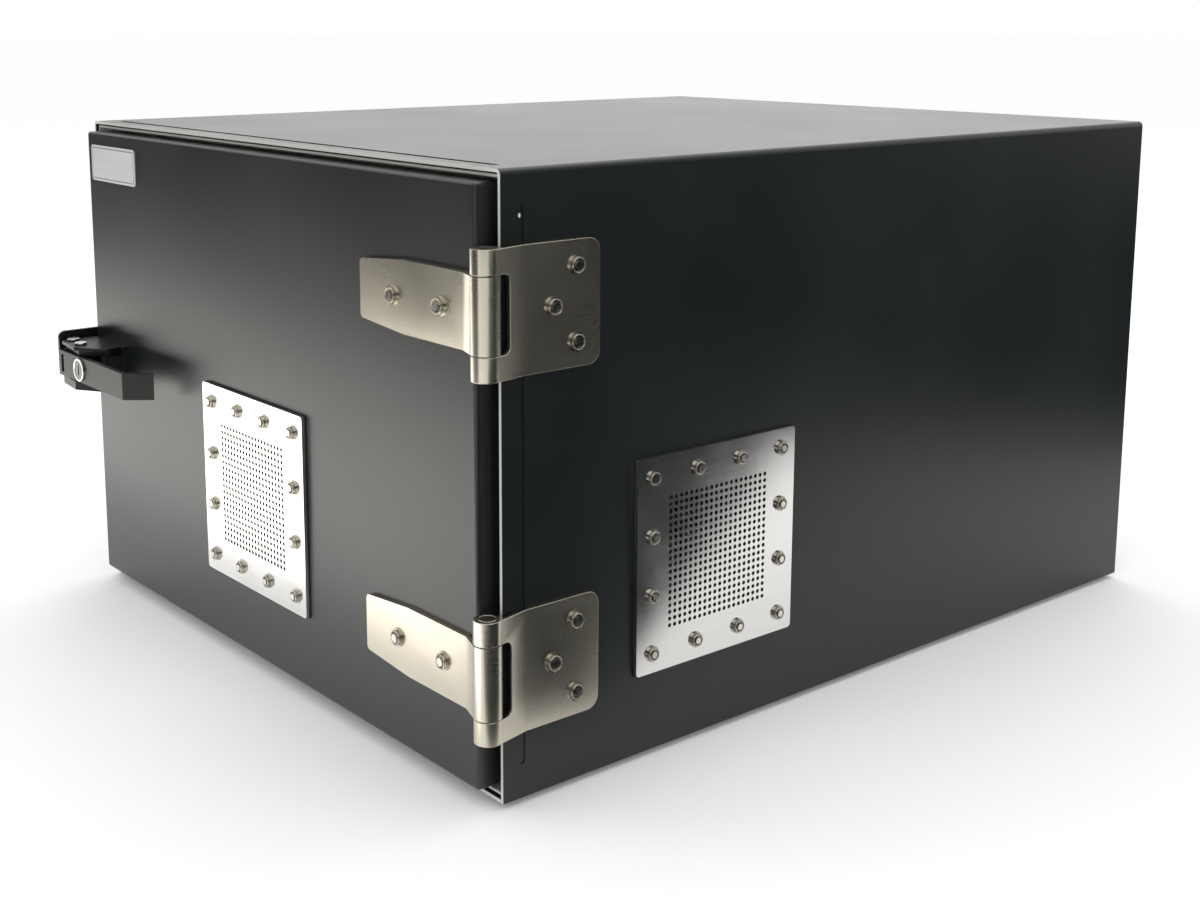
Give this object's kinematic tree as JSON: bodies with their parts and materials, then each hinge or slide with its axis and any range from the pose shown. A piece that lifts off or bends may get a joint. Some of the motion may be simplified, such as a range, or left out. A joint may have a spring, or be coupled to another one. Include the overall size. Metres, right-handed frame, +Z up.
{
  "type": "shielded equipment enclosure",
  "caption": "Bench-top shielded steel enclosure with a side-hinged door, perforated vents, a lockable lever latch and foam lining.",
  "frame": {"origin": "middle of the overall footprint, lever and rear ports included, on the surface that the feet stand on", "axes": "+Z up, door on -Y, hinges on +X, latch on -X"},
  "size_m": [0.519, 0.6546, 0.354],
  "materials": {
    "case_paint": "satin powder coat",
    "plated_sheet": "satin",
    "foam": "matte",
    "rubber": "matte",
    "seal_rubber": "matte",
    "shield_fabric": "matte",
    "vent_steel": "brushed",
    "core_metal": "satin",
    "stainless": "brushed",
    "polymer": "matte",
    "latch_black": "satin",
    "pin_steel": "polished",
    "lock_chrome": "polished",
    "connector_metal": "polished",
    "plate_silver": "brushed"
  },
  "bodies": {
    "case": {"case_wrap": "case_paint", "case_base": "case_paint", "case_back": "case_paint", "door_frame": "plated_sheet", "door_gasket": "shield_fabric", "floor_foam": "foam", "roof_foam": "foam", "left_foam": "foam", "right_foam": "foam", "rear_foam": "foam", "feet": "rubber", "side_vent_plate": "vent_steel", "side_vent_gasket": "seal_rubber", "side_vent_core": "core_metal", "case_small_screws": "stainless", "case_small_washers": "stainless", "case_small_spring_washers": "stainless", "case_small_nuts": "stainless", "case_large_screws": "stainless", "case_large_washers": "stainless", "case_large_spring_washers": "stainless", "case_large_nuts": "stainless", "lower_hinge_case_leaf": "stainless", "upper_hinge_case_leaf": "stainless", "lower_hinge_pin": "stainless", "upper_hinge_pin": "stainless", "lower_hinge_thrust_washers": "polymer", "upper_hinge_thrust_washers": "polymer", "latch_keeper": "latch_black", "port_plate": "vent_steel", "port_connectors": "connector_metal", "port_nuts": "connector_metal"},
    "door": {"door_pan": "case_paint", "door_liner": "plated_sheet", "door_foam": "foam", "name_plate": "plate_silver", "door_vent_plate": "vent_steel", "door_vent_gasket": "seal_rubber", "door_vent_core": "core_metal", "door_small_screws": "stainless", "door_small_washers": "stainless", "door_small_spring_washers": "stainless", "door_small_nuts": "stainless", "door_large_screws": "stainless", "door_large_washers": "stainless", "door_large_spring_washers": "stainless", "door_large_nuts": "stainless", "lower_hinge_door_leaf": "stainless", "upper_hinge_door_leaf": "stainless", "latch_housing": "latch_black", "latch_pivot_pin": "pin_steel", "latch_spacer_pin": "pin_steel"},
    "lever": {"latch_lever": "latch_black", "lock_collar": "lock_chrome"},
    "lock": {"lock_plug": "pin_steel", "lock_cam": "pin_steel"}
  },
  "joints": [
    {"name": "door_swing", "type": "hinge", "parent": "case", "child": "door", "pos_m": [0.25, -0.29675, 0.179], "axis": [0, 0, 1], "range_deg": [0, 180]},
    {"name": "lever_swing", "type": "hinge", "parent": "door", "child": "lever", "pos_m": [-0.238, -0.31675, 0.176], "axis": [0, 0, -1], "range_deg": [0, 90]},
    {"name": "lock_turn", "type": "hinge", "parent": "lever", "child": "lock", "pos_m": [-0.207, -0.32575, 0.176], "axis": [0, 1, 0], "range_deg": [0, 90]}
  ]
}
